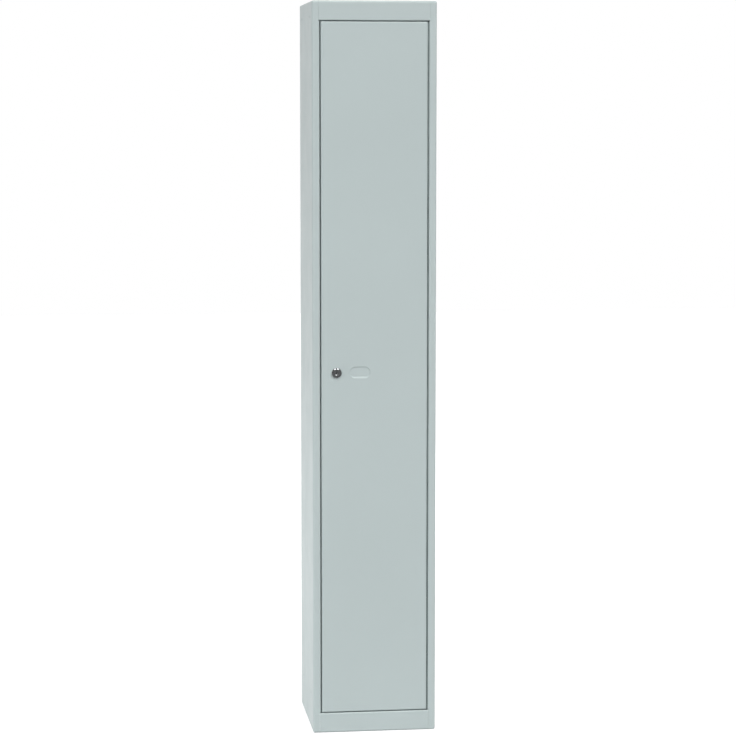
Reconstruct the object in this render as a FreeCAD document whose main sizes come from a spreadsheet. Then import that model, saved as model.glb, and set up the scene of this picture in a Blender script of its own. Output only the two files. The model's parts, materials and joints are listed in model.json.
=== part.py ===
import FreeCAD, Part
import math
import os
import re
import Sketcher

# One-door steel clothing locker. X runs to the right seen from the front, Y to the back, Z up.
# The origin is on the floor, under the middle of the carcass.

# Driving sizes in millimetres: name, value, meaning
SIZES = {
    "width": (305.0, "carcass across the front"),
    "depth": (305.0, "carcass from front to back"),
    "height": (1802.0, "carcass from floor to top"),
    "body_sheet": (0.8, "sheet of the carcass"),
    "door_sheet": (0.9, "sheet of the door"),
    "bend_radius": (1.5, "inside radius of a plain fold"),
    "corner_radius": (3.6, "inside radius of the carcass corners"),
    "seam_gap": (0.3, "gap between sheets that butt"),
    "stile_width": (18.5, "front upright of a side panel"),
    "rail_height": (47.5, "front rail folded from the roof"),
    "plinth_height": (49.5, "kick plate under the door"),
    "jamb_depth": (21.0, "front face back to the stop flange"),
    "stop_flange": (12.0, "flange that the door closes against"),
    "foot_flange": (15.0, "flange that the plinth stands on"),
    "joggle": (11.0, "step of the roof under the sides' top flanges"),
    "tray_flange": (15.0, "turned-down edge of the roof and the base tray"),
    "nest_hole_radius": (3.5, "hole for a bolt to the next locker"),
    "nest_inset": (60.0, "bolt holes from the front and back faces"),
    "nest_drop": (37.0, "upper bolt holes below the top"),
    "nest_rise": (90.0, "lower bolt holes above the floor"),
    "lock_gap": (3.0, "gap between door and upright, lock side"),
    "barrel_gap": (0.3, "hinge barrel to the door and to the upright"),
    "end_gap": (2.5, "gap above and below the door"),
    "stop_space": (3.0, "closed door in front of the stop flange"),
    "door_lip": (12.0, "lip turned in round the back of the pan"),
    "stiffener_place": (38.0, "stiffener to the right of the middle"),
    "stiffener_web": (42.0, "clear width of the stiffener channel"),
    "stiffener_flange": (12.0, "welding flange of the stiffener"),
    "stiffener_depth": (13.0, "clear depth of the stiffener channel"),
    "stiffener_inset": (20.0, "stiffener short of each door end"),
    "pin_radius": (0.9, "hinge pin"),
    "pin_clearance": (0.05, "play round the hinge pin"),
    "barrel_sink": (0.45, "hinge barrel behind the front face"),
    "leaf_sheet": (0.6, "sheet of the hinge leaves"),
    "leaf_notch": (0.55, "front edge of a leaf behind the barrel"),
    "leaf_width": (10.0, "depth of a hinge leaf"),
    "knuckle_count": (12.0, "knuckles of both leaves"),
    "knuckle_break": (2.2, "gap between knuckles"),
    "lock_inset": (59.1, "lock from the left side of the carcass"),
    "lock_drop": (2.0, "lock and label recess below the door's middle"),
    "bezel_radius": (12.0, "rim of the lock"),
    "bezel_height": (5.0, "rim of the lock in front of the door"),
    "bezel_round": (3.0, "rounded front edge of the rim"),
    "lock_body_radius": (9.5, "lock body through the door"),
    "lock_body_gap": (1.2, "lock body short of the cam"),
    "lock_hole_play": (0.1, "play of the lock body in the door"),
    "nut_width": (24.0, "lock nut across its flats"),
    "nut_height": (4.0, "thickness of the lock nut"),
    "plug_head_radius": (8.5, "front disc of the plug"),
    "plug_head_height": (3.0, "thickness of the front disc"),
    "plug_stem_radius": (6.5, "stem of the plug"),
    "plug_sink": (0.3, "plug face behind the rim"),
    "dish_depth": (1.5, "dish in the plug face, round the key slot"),
    "dish_curve": (11.2, "radius of the ball that fits the dish"),
    "turn_clearance": (0.05, "play of the plug in the lock body"),
    "keyway_width": (1.8, "width of the key slot"),
    "keyway_height": (8.0, "height of the key slot"),
    "keyway_depth": (9.0, "depth of the key slot"),
    "tail_width": (8.0, "square end of the plug"),
    "cam_sheet": (2.0, "plate of the cam"),
    "cam_gap": (0.9, "cam behind the stop flange"),
    "cam_half_width": (9.0, "half the width of the cam"),
    "cam_reach": (41.0, "cam from the lock's axis to its tip"),
    "cam_corner": (5.0, "rounded corners of the cam"),
    "washer_radius": (7.0, "washer behind the cam"),
    "washer_height": (1.0, "thickness of the washer"),
    "screw_radius": (2.4, "shank of the cam screw"),
    "screw_length": (12.0, "shank of the cam screw under its head"),
    "screw_head_radius": (4.6, "head of the cam screw"),
    "screw_head_height": (3.0, "head of the cam screw"),
    "screw_bevel": (1.0, "bevelled edge of the screw head"),
    "cross_width": (1.2, "width of the cross in the screw head"),
    "cross_length": (5.6, "length of the cross in the screw head"),
    "cross_depth": (1.5, "depth of the cross in the screw head"),
    "screw_play": (0.05, "play round the shank of the cam screw"),
    "recess_inset": (116.7, "middle of the label recess from the left side"),
    "recess_width": (50.4, "label recess across"),
    "recess_height": (28.6, "label recess from top to bottom"),
    "recess_corner": (9.0, "corner cut off the recess, along each side"),
    "recess_depth": (1.4, "depth of the recess"),
    "recess_run": (0.6, "lean of the recess wall, from the face in to the floor"),
    "recess_ramp": (4.3, "lean of its lower wall, from the face in to the floor"),
    "hat_height": (307.0, "top of the hat shelf below the roof"),
    "shelf_setback": (4.0, "hat shelf behind the stop flanges"),
    "shelf_lip": (20.0, "front edge of the hat shelf"),
    "shelf_return": (10.0, "edge turned in under the front edge"),
    "runner_drop": (20.0, "upright leg of a shelf runner"),
    "runner_ledge": (18.0, "leg of a runner under the shelf"),
    "runner_length": (230.0, "length of a shelf runner"),
    "hook_strap": (2.0, "strap of the coat hooks"),
    "hook_width": (18.0, "width of the strap"),
    "hook_bend": (5.0, "inside radius of the strap's folds"),
    "hook_round": (7.0, "rounded ends of the strap"),
    "hook_tip": (24.0, "upturned end of a hook"),
    "side_hook_back": (30.0, "side hook's back above its middle"),
    "side_hook_low": (16.0, "foot of a side hook below its middle"),
    "side_hook_reach": (30.0, "side hook from the side panel"),
    "side_hook_drop": (110.0, "middle of the side hooks below the hat shelf"),
    "top_hook_half": (22.0, "half the back of the double hook"),
    "top_hook_reach": (20.0, "prong of the double hook past its back"),
    "top_hook_drop": (38.0, "prongs of the double hook below the shelf"),
    "rivet_place": (9.0, "rivets from the middle of the double hook"),
    "rivet_radius": (2.0, "shank of a rivet"),
    "rivet_play": (0.05, "play round a rivet"),
    "rivet_head_radius": (4.0, "head of a rivet"),
    "rivet_head_height": (1.5, "head of a rivet"),
    "rivet_edge": (0.8, "bevelled edge of a rivet head"),
    "buffer_count": (4.0, "rubber buffers on the lock side"),
    "buffer_radius": (4.0, "rubber buffer"),
    "buffer_edge": (0.7, "bevelled edge of a buffer"),
    "buffer_gap": (0.3, "buffer short of the closed door"),
    "cut_over": (2.0, "how far a cut runs past the sheet"),
}

# Places and sizes that follow from the driving sizes
PLACES = {
    "front": "-depth / 2",
    "bend_outside": "bend_radius + body_sheet",
    "corner_outside": "corner_radius + body_sheet",
    "corner_clear": "corner_outside + seam_gap",
    "flange_width": "stile_width - bend_outside",
    "door_bend": "bend_radius + door_sheet",
    "inner_half": "width / 2 - body_sheet",
    "fit_half": "inner_half - seam_gap",
    "jamb_half": "width / 2 - stile_width",
    "rail_half": "width / 2 - flange_width - seam_gap",
    "stop_half": "jamb_half - stop_flange - seam_gap",
    "opening_top": "height - rail_height",
    "stop_front": "front + jamb_depth",
    "stop_back": "stop_front + body_sheet",
    "inner_depth": "depth - 2 * body_sheet - seam_gap",
    "tray_top": "plinth_height - body_sheet",
    "door_left": "lock_gap - jamb_half",
    "barrel_radius": "pin_radius + pin_clearance + leaf_sheet",
    "hinge_gap": "2 * (barrel_radius + barrel_gap)",
    "door_width": "2 * jamb_half - lock_gap - hinge_gap",
    "door_depth": "jamb_depth - stop_space",
    "door_bottom": "plinth_height + end_gap",
    "door_height": "opening_top - plinth_height - 2 * end_gap",
    "pin_place": "jamb_half - hinge_gap / 2",
    "pin_front": "front + barrel_radius + barrel_sink",
    "leaf_start": "barrel_radius + leaf_notch",
    "knuckle_pitch": "door_height / knuckle_count",
    "lock_place": "lock_inset - width / 2",
    "lock_height": "door_bottom + door_height / 2 - lock_drop",
    "cam_front": "jamb_depth + body_sheet + cam_gap",
    "cam_back": "cam_front + cam_sheet",
    "lock_body_length": "cam_front - lock_body_gap",
    "plug_front": "plug_sink - bezel_height",
    "plug_shoulder": "plug_front + plug_head_height",
    "shelf_front": "stop_back + shelf_setback",
    "shelf_depth": "depth / 2 - 2 * body_sheet - seam_gap - shelf_front",
    "shelf_height": "height - hat_height",
    "shelf_under": "shelf_height - body_sheet",
    "hook_middle": "shelf_front + shelf_depth / 2",
    "recess_wall": "door_sheet * (sqrt(recess_depth ^ 2 + recess_run ^ 2) - recess_run) / recess_depth",
    "ramp_wall": "door_sheet * (sqrt(recess_depth ^ 2 + recess_ramp ^ 2) - recess_ramp) / recess_depth",
    "buffer_height": "stop_space - buffer_gap",
}

# Far below any size of the locker
HAIR = 0.001

doc = FreeCAD.newDocument("ClothingLocker")
sheet = doc.addObject("Spreadsheet::Sheet", "Sizes")
for row, (name, (number, meaning)) in enumerate(SIZES.items(), start=1):
    sheet.set(f"A{row}", meaning)
    sheet.set(f"B{row}", str(number))
    sheet.setAlias(f"B{row}", name)
doc.recompute()

nodes = []


def formula(text):
    """Write out a formula of size and place names with references to the sheet's cells."""

    def refer(match):
        word = match.group()
        if word in SIZES:
            return "Sizes." + word
        if word in PLACES:
            return "(" + formula(PLACES[word]) + ")"
        return word

    return re.sub(r"[A-Za-z_]\w*", refer, text)


def value(text):
    """Work out a formula to a number."""
    return float(sheet.evalExpression(formula(text)))


def bind(item, **formulas):
    """Bind an object's properties to formulas of the sheet's sizes."""
    for name, text in formulas.items():
        item.setExpression(name, formula(text))


def place(item, x, y, z):
    """Bind an object's place to formulas."""
    for axis, text in zip("xyz", (x, y, z)):
        item.setExpression(f"Placement.Base.{axis}", formula(text))


def turn(item, axis, degrees):
    """Turn an object about an axis through its own origin."""
    item.Placement = FreeCAD.Placement(FreeCAD.Vector(), FreeCAD.Rotation(FreeCAD.Vector(*axis), degrees))


def new_body(label, x="0", y="0", z="0", is_node=True):
    """Start a body with its own label and place."""
    body = doc.addObject("PartDesign::Body", label)
    body.Label = label
    place(body, x, y, z)
    if is_node:
        nodes.append(body)
    return body


def origin_part(body, role):
    """Find one of the body's own origin planes or axes."""
    return next(item for item in body.Origin.OriginFeatures if item.Role == role)


def new_sketch(body, name, role, lift="0"):
    """Start a sketch on one of the body's origin planes, lifted along the plane's normal."""
    sketch = body.newObject("Sketcher::SketchObject", name)
    sketch.AttachmentSupport = [(origin_part(body, role), "")]
    sketch.MapMode = "FlatFace"
    sketch.setExpression("AttachmentOffset.Base.z", formula(lift))
    return sketch


def hold(sketch, kind, geometry, point, text):
    """Hold a point of the sketch at a formula's distance from the sketch's origin."""
    rule = Sketcher.Constraint(kind, -1, 1, geometry, point, value(text))
    number = sketch.addConstraint(rule)
    sketch.setExpression(f"Constraints[{number}]", formula(text))


def hold_radius(sketch, geometry, text):
    """Hold the radius of an arc or circle at a formula."""
    number = sketch.addConstraint(Sketcher.Constraint("Radius", geometry, value(text)))
    sketch.setExpression(f"Constraints[{number}]", formula(text))


def draw_line(sketch, start, end):
    """Draw a straight line and return its number."""
    return sketch.addGeometry(Part.LineSegment(start, end))


def draw_arc(sketch, centre, start, end):
    """Draw the shorter arc from start to end and return its number and the ends' numbers."""
    spoke_in = start - centre
    spoke_out = end - centre
    first = math.atan2(spoke_in.y, spoke_in.x)
    last = math.atan2(spoke_out.y, spoke_out.x)
    circle = Part.Circle(centre, FreeCAD.Vector(0, 0, 1), spoke_in.Length)
    if spoke_in.x * spoke_out.y - spoke_in.y * spoke_out.x > 0:
        return sketch.addGeometry(Part.ArcOfCircle(circle, first, last)), 1, 2
    return sketch.addGeometry(Part.ArcOfCircle(circle, last, first)), 2, 1


def level(sketch, line, direction):
    """Keep a line level or upright."""
    sketch.addConstraint(Sketcher.Constraint("Horizontal" if direction.x else "Vertical", line))


def draw_outline(sketch, points):
    """Draw a closed outline of straight lines, each corner held by two formulas."""
    corners = [FreeCAD.Vector(value(x), value(y), 0) for x, y in points]
    lines = []
    for index, corner in enumerate(corners):
        lines.append(draw_line(sketch, corner, corners[(index + 1) % len(corners)]))
    for index, (x, y) in enumerate(points):
        sketch.addConstraint(Sketcher.Constraint("Coincident", lines[index - 1], 2, lines[index], 1))
        hold(sketch, "DistanceX", lines[index], 1, x)
        hold(sketch, "DistanceY", lines[index], 1, y)


def draw_rounded(sketch, left, right, bottom, top, radius):
    """Draw a rectangle with rounded corners, its sides and corner radius held by formulas."""
    corners = [(left, bottom), (right, bottom), (right, top), (left, top)]
    points = [FreeCAD.Vector(value(x), value(y), 0) for x, y in corners]
    reach = value(radius)
    ways = [(points[(index + 1) % 4] - points[index]).normalize() for index in range(4)]
    lines = []
    for index in range(4):
        start = points[index] + ways[index] * reach
        end = points[(index + 1) % 4] - ways[index] * reach
        lines.append(draw_line(sketch, start, end))
        level(sketch, lines[index], ways[index])
    arcs = []
    for index in range(4):
        start = points[index] - ways[index - 1] * reach
        end = points[index] + ways[index] * reach
        arc, first, last = draw_arc(sketch, start + ways[index] * reach, start, end)
        sketch.addConstraint(Sketcher.Constraint("Tangent", lines[index - 1], 2, arc, first))
        sketch.addConstraint(Sketcher.Constraint("Tangent", arc, last, lines[index], 1))
        arcs.append(arc)
    for arc in arcs[1:]:
        sketch.addConstraint(Sketcher.Constraint("Equal", arcs[0], arc))
    hold_radius(sketch, arcs[0], radius)
    hold(sketch, "DistanceY", lines[0], 1, bottom)
    hold(sketch, "DistanceX", lines[1], 1, right)
    hold(sketch, "DistanceY", lines[2], 1, top)
    hold(sketch, "DistanceX", lines[3], 1, left)


def draw_recess(sketch, x, z, side, low):
    """Draw the label recess, enlarged by one length below and by another on its other sides."""
    half = f"(recess_width / 2 + {side})"
    top = f"(recess_height / 2 + {side})"
    bottom = f"(recess_height / 2 + {low})"
    top_cut = f"(recess_corner + (2 - sqrt(2)) * {side})"
    low_cut = f"(recess_corner + {low} + (1 - sqrt(2)) * {side})"
    offsets = [
        (f"- {half} + {low_cut}", f"- {bottom}"),
        (f"+ {half} - {low_cut}", f"- {bottom}"),
        (f"+ {half}", f"- {bottom} + {low_cut}"),
        (f"+ {half}", f"+ {top} - {top_cut}"),
        (f"+ {half} - {top_cut}", f"+ {top}"),
        (f"- {half} + {top_cut}", f"+ {top}"),
        (f"- {half}", f"+ {top} - {top_cut}"),
        (f"- {half}", f"- {bottom} + {low_cut}"),
    ]
    draw_outline(sketch, [(f"{x} {across}", f"{z} {upright}") for across, upright in offsets])


def draw_circle(sketch, x, y, radius):
    """Draw a circle held by formulas."""
    centre = FreeCAD.Vector(value(x), value(y), 0)
    circle = sketch.addGeometry(Part.Circle(centre, FreeCAD.Vector(0, 0, 1), value(radius)))
    hold_radius(sketch, circle, radius)
    hold(sketch, "DistanceX", circle, 3, x)
    hold(sketch, "DistanceY", circle, 3, y)


def draw_fold(sketch, corners, gauge, inward, folds):
    """Draw the section of a folded sheet.

    The corners are where the flats of the sheet's face meet, with every fold square, and the folds
    are the inside radius at each corner between two flats. The sheet's thickness lies to the left
    of the way along the corners where inward is 1, to the right at -1.
    """
    points = [FreeCAD.Vector(value(x), value(y), 0) for x, y in corners]
    thick = value(gauge)
    bends = [value(fold) for fold in folds]
    legs = len(points) - 1
    ways = [(points[leg + 1] - points[leg]).normalize() for leg in range(legs)]
    depths = [FreeCAD.Vector(-way.y, way.x, 0) * (inward * thick) for way in ways]
    turns = [ways[leg].cross(ways[leg + 1]).z * inward for leg in range(legs - 1)]
    sides = []
    for is_back in (False, True):
        shifts = [depth * is_back for depth in depths]
        radii = [bend + thick * ((turned > 0) != is_back) for bend, turned in zip(bends, turns)]
        lines = []
        for leg in range(legs):
            start = points[leg] + shifts[leg]
            end = points[leg + 1] + shifts[leg]
            if leg > 0:
                start += shifts[leg - 1] + ways[leg] * radii[leg - 1]
            if leg < legs - 1:
                end += shifts[leg + 1] - ways[leg] * radii[leg]
            lines.append(draw_line(sketch, start, end))
            level(sketch, lines[leg], ways[leg])
        arcs = []
        for leg in range(legs - 1):
            corner = points[leg + 1] + shifts[leg] + shifts[leg + 1]
            start = corner - ways[leg] * radii[leg]
            end = corner + ways[leg + 1] * radii[leg]
            arc, first, last = draw_arc(sketch, start + ways[leg + 1] * radii[leg], start, end)
            sketch.addConstraint(Sketcher.Constraint("Tangent", lines[leg], 2, arc, first))
            sketch.addConstraint(Sketcher.Constraint("Tangent", arc, last, lines[leg + 1], 1))
            arcs.append(arc)
        sides.append((lines, arcs))
    (face, face_arcs), (back, back_arcs) = sides
    for leg, turned in enumerate(turns):
        sketch.addConstraint(Sketcher.Constraint("Coincident", face_arcs[leg], 3, back_arcs[leg], 3))
        hold_radius(sketch, back_arcs[leg] if turned > 0 else face_arcs[leg], folds[leg])
    for leg, end, point, rim in ((0, 0, 1, depths[0]), (legs - 1, legs, 2, depths[-1])):
        cap = draw_line(sketch, points[end], points[end] + rim)
        sketch.addConstraint(Sketcher.Constraint("Coincident", face[leg], point, cap, 1))
        sketch.addConstraint(Sketcher.Constraint("Coincident", cap, 2, back[leg], point))
        level(sketch, cap, rim)
    number = sketch.addConstraint(Sketcher.Constraint("Distance", cap, thick))
    sketch.setExpression(f"Constraints[{number}]", formula(gauge))
    for leg, way in enumerate(ways):
        across = "DistanceY" if way.x else "DistanceX"
        hold(sketch, across, face[leg], 1, corners[leg][1] if way.x else corners[leg][0])
    for leg, end, point in ((0, 0, 1), (legs - 1, legs, 2)):
        along = "DistanceX" if ways[leg].x else "DistanceY"
        hold(sketch, along, face[leg], point, corners[end][0] if ways[leg].x else corners[end][1])


def pad(body, sketch, name, length, side="One side", is_reversed=False):
    """Give a sketch its thickness."""
    feature = body.newObject("PartDesign::Pad", name)
    feature.Profile = sketch
    feature.SideType = side
    feature.Reversed = is_reversed
    bind(feature, Length=length)
    sketch.Visibility = False
    doc.recompute()
    return feature


def pocket(body, sketch, name, length, is_reversed=False):
    """Cut a sketch's outline out of the body."""
    feature = body.newObject("PartDesign::Pocket", name)
    feature.Profile = sketch
    feature.Reversed = is_reversed
    bind(feature, Length=length)
    doc.recompute()
    return feature


def loft(body, kind, name, first, last):
    """Add or cut the shape between two outlines."""
    feature = body.newObject(f"PartDesign::{kind}Loft", name)
    feature.Profile = first
    feature.Sections = [last]
    feature.Ruled = True
    doc.recompute()
    return feature


def block(body, kind, name, corner, size):
    """Add or cut a block, given by its lowest corner and its size."""
    feature = body.newObject(f"PartDesign::{kind}Box", name)
    bind(feature, Length=size[0], Width=size[1], Height=size[2])
    place(feature, *corner)
    doc.recompute()
    return feature


def rod(body, kind, name, start, radius, length):
    """Add or cut a round bar that runs to the back from its start."""
    feature = body.newObject(f"PartDesign::{kind}Cylinder", name)
    bind(feature, Radius=radius, Height=length)
    turn(feature, (1, 0, 0), -90)
    place(feature, *start)
    doc.recompute()
    return feature


def revolve(body, name, role, points):
    """Turn an outline of radius and length about the upright axis of its plane."""
    sketch = new_sketch(body, name + "_outline", role)
    draw_outline(sketch, points)
    feature = body.newObject("PartDesign::Revolution", name)
    feature.Profile = sketch
    feature.ReferenceAxis = (sketch, ["V_Axis"])
    feature.Angle = 360
    doc.recompute()
    return feature


def fillet(body, name, base, is_rounded, radius):
    """Round the edges of a feature that pass a test."""
    edges = [f"Edge{index}" for index, edge in enumerate(base.Shape.Edges, 1) if is_rounded(edge)]
    feature = body.newObject("PartDesign::Fillet", name)
    feature.Base = (base, edges)
    bind(feature, Radius=radius)
    doc.recompute()
    return feature


def hollowed(body, name, base, is_open, gauge):
    """Hollow a solid out to a sheet of one gauge, open at the faces that pass a test."""
    faces = [f"Face{index}" for index, face in enumerate(base.Shape.Faces, 1) if is_open(face)]
    feature = body.newObject("PartDesign::Thickness", name)
    feature.Base = (base, faces)
    feature.Reversed = True
    bind(feature, Value=gauge)
    doc.recompute()
    return feature


def folded(
    label, role, corners, gauge, inward, length, at,
    side="One side", is_reversed=False, fold="bend_radius", wide_fold=None,
):
    """Make a folded sheet: its section, drawn on a plane, and its length.

    Every fold is alike, apart from one of a carcass corner's radius where wide_fold counts to it.
    """
    folds = [fold] * (len(corners) - 2)
    if wide_fold is not None:
        folds[wide_fold] = "corner_radius"
    body = new_body(label, *at)
    sketch = new_sketch(body, label + "_section", role)
    draw_fold(sketch, corners, gauge, inward, folds)
    pad(body, sketch, label + "_sheet", length, side, is_reversed)
    return body


def mirrored(label, source):
    """Make the other-hand copy of a piece, across the middle of the carcass."""
    piece = doc.addObject("Part::Mirroring", label)
    piece.Label = label
    piece.Source = source
    piece.Normal = (1, 0, 0)
    nodes.append(piece)
    return piece


def grouped(label, pieces):
    """Gather like pieces, each its own solid, under one label."""
    group = doc.addObject("Part::Compound", label)
    group.Label = label
    group.Links = pieces
    nodes.append(group)


# Carcass

def make_side_panel():
    """Shallow pan of side, front upright and three flanges, with the jamb and stop flange folded on."""
    body = new_body("left_side_panel", "-width / 2", "front", "0")
    pan = block(body, "Additive", "side_pan", ("0", "0", "0"), ("flange_width", "depth", "height"))
    solid = fillet(body, "side_corners", pan, lambda edge: edge.BoundBox.XMin < HAIR, "corner_outside")
    rim = value("flange_width") - HAIR
    hollowed(body, "side_sheet", solid, lambda face: face.BoundBox.XMin > rim, "body_sheet")
    corners = [
        ("flange_width - body_sheet", "0"),
        ("stile_width", "0"),
        ("stile_width", "jamb_depth"),
        ("stile_width + stop_flange", "jamb_depth"),
    ]
    jamb = new_sketch(body, "jamb_section", "XY_Plane", "plinth_height + seam_gap")
    draw_fold(jamb, corners, "body_sheet", 1, ["bend_radius"] * 2)
    pad(body, jamb, "jamb", "opening_top - plinth_height - 2 * seam_gap")
    holes = new_sketch(body, "nest_holes", "YZ_Plane")
    for y in ("nest_inset", "depth - nest_inset"):
        for z in ("nest_rise", "height - nest_drop"):
            draw_circle(holes, y, z, "nest_hole_radius")
    pocket(body, holes, "nest_drilling", "body_sheet + cut_over", is_reversed=True)
    return body


def make_roof_panel():
    """Top sheet with the front rail, its return and stop flange, stepped under the sides' flanges."""
    corners = [
        ("jamb_depth", "opening_top - stop_flange"),
        ("jamb_depth", "opening_top"),
        ("0", "opening_top"),
        ("0", "height"),
        ("inner_depth", "height"),
        ("inner_depth", "height - tray_flange"),
    ]
    at = ("0", "front", "0")
    body = folded(
        "roof_panel", "YZ_Plane", corners, "body_sheet", -1, "2 * rail_half", at,
        "Symmetric", wide_fold=2,
    )
    trim_size = "rail_half - stop_half + cut_over"
    step_size = "joggle + 2 * body_sheet"
    for hand, trim_x, step_x in (
        ("left", "-rail_half - cut_over", "-rail_half - joggle"),
        ("right", "stop_half", "rail_half - 2 * body_sheet"),
    ):
        block(
            body, "Subtractive", f"{hand}_stop_trim",
            (trim_x, "jamb_depth - bend_outside", "opening_top - stop_flange - cut_over"),
            (trim_size, "2 * bend_outside", "stop_flange + cut_over"),
        )
        block(
            body, "Additive", f"{hand}_roof_step",
            (step_x, "corner_clear", "height - 2 * body_sheet"),
            (step_size, "depth - 2 * corner_clear", "body_sheet"),
        )


def make_plinth():
    """Kick plate with a foot flange, a return under the door and an upstanding stop lip."""
    corners = [
        ("foot_flange", "0"),
        ("0", "0"),
        ("0", "plinth_height"),
        ("jamb_depth", "plinth_height"),
        ("jamb_depth", "plinth_height + stop_flange"),
    ]
    at = ("0", "front", "0")
    body = folded(
        "plinth", "YZ_Plane", corners, "body_sheet", -1, "2 * rail_half", at, "Symmetric", wide_fold=0
    )
    trim_size = "rail_half - stop_half + cut_over"
    for hand, trim_x in (("left", "-rail_half - cut_over"), ("right", "stop_half")):
        block(
            body, "Subtractive", f"{hand}_lip_trim",
            (trim_x, "jamb_depth - bend_outside", "plinth_height"),
            (trim_size, "2 * bend_outside", "stop_flange + cut_over"),
        )


def notch_back_corners(body, back, top):
    """Notch a tray or shelf clear of the rounded corners of the carcass behind it."""
    for hand, x in (("left", "-fit_half - cut_over"), ("right", "fit_half - corner_radius")):
        block(
            body, "Subtractive", f"{hand}_notch",
            (x, f"{back} - corner_radius", f"{top} - tray_flange - cut_over"),
            ("corner_radius + cut_over", "corner_radius + cut_over", "tray_flange + 2 * cut_over"),
        )


def make_base_tray():
    """Floor of the locker, tucked under the plinth's return, with turned-down edges."""
    corners = [
        ("-fit_half", "tray_top - tray_flange"),
        ("-fit_half", "tray_top"),
        ("fit_half", "tray_top"),
        ("fit_half", "tray_top - tray_flange"),
    ]
    tray_depth = "inner_depth - corner_clear"
    at = ("0", "front + corner_clear", "0")
    body = folded(
        "base_tray", "XZ_Plane", corners, "body_sheet", -1, tray_depth, at, is_reversed=True
    )
    block(
        body, "Additive", "tray_back_flange",
        ("bend_outside - fit_half", f"{tray_depth} - body_sheet", "tray_top - tray_flange"),
        ("2 * (fit_half - bend_outside)", "body_sheet", "tray_flange"),
    )
    notch_back_corners(body, tray_depth, "tray_top")


def make_back_panel():
    """Plain sheet inside the rear flanges."""
    body = new_body("back_panel", "0", "depth / 2 - 2 * body_sheet", "0")
    block(
        body, "Additive", "back_sheet",
        ("corner_clear - width / 2", "0", "corner_clear"),
        ("width - 2 * corner_clear", "body_sheet", "height - 2 * corner_clear"),
    )


def make_hat_shelf():
    """Shelf with a hemmed front edge and a turned-down back edge."""
    corners = [
        ("shelf_return", "-shelf_lip"),
        ("0", "-shelf_lip"),
        ("0", "0"),
        ("shelf_depth", "0"),
        ("shelf_depth", "-tray_flange"),
    ]
    at = ("0", "shelf_front", "shelf_height")
    body = folded("hat_shelf", "YZ_Plane", corners, "body_sheet", -1, "2 * fit_half", at, "Symmetric")
    holes = new_sketch(body, "shelf_rivet_holes", "XY_Plane")
    for x in ("-rivet_place", "rivet_place"):
        draw_circle(holes, x, "shelf_depth / 2", "rivet_radius + rivet_play")
    pocket(body, holes, "shelf_rivet_drilling", "body_sheet + cut_over")
    notch_back_corners(body, "shelf_depth", "0")


def make_shelf_runner():
    """Angle on the side panel that the shelf lies on."""
    corners = [("0", "-runner_drop"), ("0", "0"), ("runner_ledge", "0")]
    at = ("-inner_half", "hook_middle - runner_length / 2", "shelf_under")
    return folded(
        "shelf_runner_left", "XZ_Plane", corners, "body_sheet", -1, "runner_length", at, is_reversed=True
    )


# Coat hooks

def round_ends(body, name):
    """Round the corners at the two ends of an upright-ended strap."""
    strap = body.Tip
    thick = value("hook_strap")

    def is_corner(edge):
        size = edge.BoundBox
        return abs(edge.Length - thick) < HAIR and abs(size.XLength - thick) < HAIR

    fillet(body, name, strap, is_corner, "hook_round")


def make_side_hook():
    """Hook of folded strap on a side panel."""
    corners = [
        ("0", "side_hook_back"),
        ("0", "-side_hook_low"),
        ("side_hook_reach", "-side_hook_low"),
        ("side_hook_reach", "hook_tip - side_hook_low"),
    ]
    at = ("-inner_half", "hook_middle", "shelf_under - side_hook_drop")
    body = folded(
        "left_coat_hook", "XZ_Plane", corners, "hook_strap", 1, "hook_width", at,
        "Symmetric", fold="hook_bend",
    )
    round_ends(body, "side_hook_ends")
    return body


def make_double_hook():
    """Hook of folded strap with two prongs, riveted under the hat shelf."""
    reach = "top_hook_half + top_hook_reach"
    tip = "hook_tip - top_hook_drop"
    corners = [
        (f"-({reach})", tip),
        (f"-({reach})", "-top_hook_drop"),
        ("-top_hook_half", "-top_hook_drop"),
        ("-top_hook_half", "0"),
        ("top_hook_half", "0"),
        ("top_hook_half", "-top_hook_drop"),
        (reach, "-top_hook_drop"),
        (reach, tip),
    ]
    at = ("0", "hook_middle", "shelf_under")
    body = folded(
        "double_coat_hook", "XZ_Plane", corners, "hook_strap", -1, "hook_width", at,
        "Symmetric", fold="hook_bend",
    )
    round_ends(body, "double_hook_ends")
    holes = new_sketch(body, "hook_rivet_holes", "XY_Plane")
    for x in ("-rivet_place", "rivet_place"):
        draw_circle(holes, x, "0", "rivet_radius + rivet_play")
    pocket(body, holes, "hook_rivet_drilling", "hook_strap + cut_over")


def make_hook_rivets():
    """Rivets that hold the double hook to the shelf, with a head at each end."""
    low = "-hook_strap"
    high = "body_sheet"
    points = [
        ("0", f"{low} - rivet_head_height"),
        ("rivet_head_radius - rivet_edge", f"{low} - rivet_head_height"),
        ("rivet_head_radius", f"{low} - rivet_head_height + rivet_edge"),
        ("rivet_head_radius", low),
        ("rivet_radius", low),
        ("rivet_radius", high),
        ("rivet_head_radius", high),
        ("rivet_head_radius", f"{high} + rivet_head_height - rivet_edge"),
        ("rivet_head_radius - rivet_edge", f"{high} + rivet_head_height"),
        ("0", f"{high} + rivet_head_height"),
    ]
    rivets = []
    for name, x in (("left_rivet", "-rivet_place"), ("right_rivet", "rivet_place")):
        rivet = new_body(name, x, "hook_middle", "shelf_under", is_node=False)
        revolve(rivet, name + "_turning", "XZ_Plane", points)
        rivets.append(rivet)
    grouped("hook_rivets", rivets)


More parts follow.
